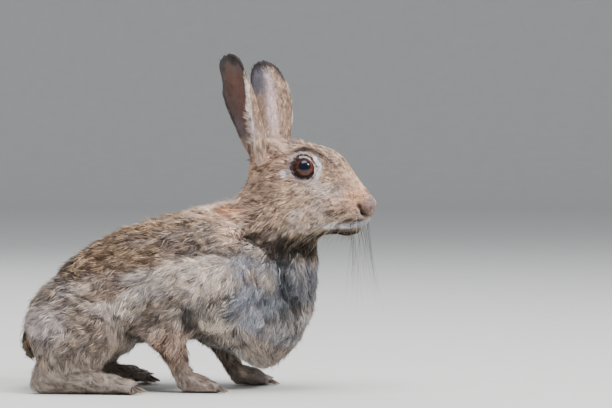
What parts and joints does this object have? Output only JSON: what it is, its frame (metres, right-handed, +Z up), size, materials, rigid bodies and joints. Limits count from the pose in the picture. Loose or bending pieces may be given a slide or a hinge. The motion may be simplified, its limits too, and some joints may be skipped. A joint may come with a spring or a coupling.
{
  "type": "wild rabbit model",
  "caption": "Life-size still model of a moulting European wild rabbit sitting up on its hind feet and looking ahead, ears raised.",
  "frame": {"origin": "on the floor, under the middle of the bounding box", "axes": "+X the way the rabbit faces (nose), +Y its left side, +Z up"},
  "size_m": [0.2692, 0.126, 0.2549],
  "materials": {
    "coat": "soft agouti fur, brown with buff and dark ticking",
    "underfur": "slate-grey woolly underfur showing through the moult",
    "tail_coat": "dark fur above, white below",
    "ear_skin": "thin short-haired skin, black at the rim",
    "eye": "wet, red-brown iris with a black pupil",
    "skin": "bare skin of lids, nostrils and lips",
    "claw": "dark horn",
    "whisker": "stiff dark and pale hairs"
  },
  "bodies": {
    "root": {"head": "coat", "neck": "coat", "trunk": "coat", "tail": "tail_coat", "foreleg_left": "coat", "foreleg_right": "coat", "forepaw_left": "coat", "forepaw_right": "coat", "thigh_left": "coat", "thigh_right": "coat", "hind_foot_left": "coat", "hind_foot_right": "coat", "ear_left": "ear_skin", "ear_right": "ear_skin", "eye_left": "eye", "eye_right": "eye"}
  },
  "joints": []
}
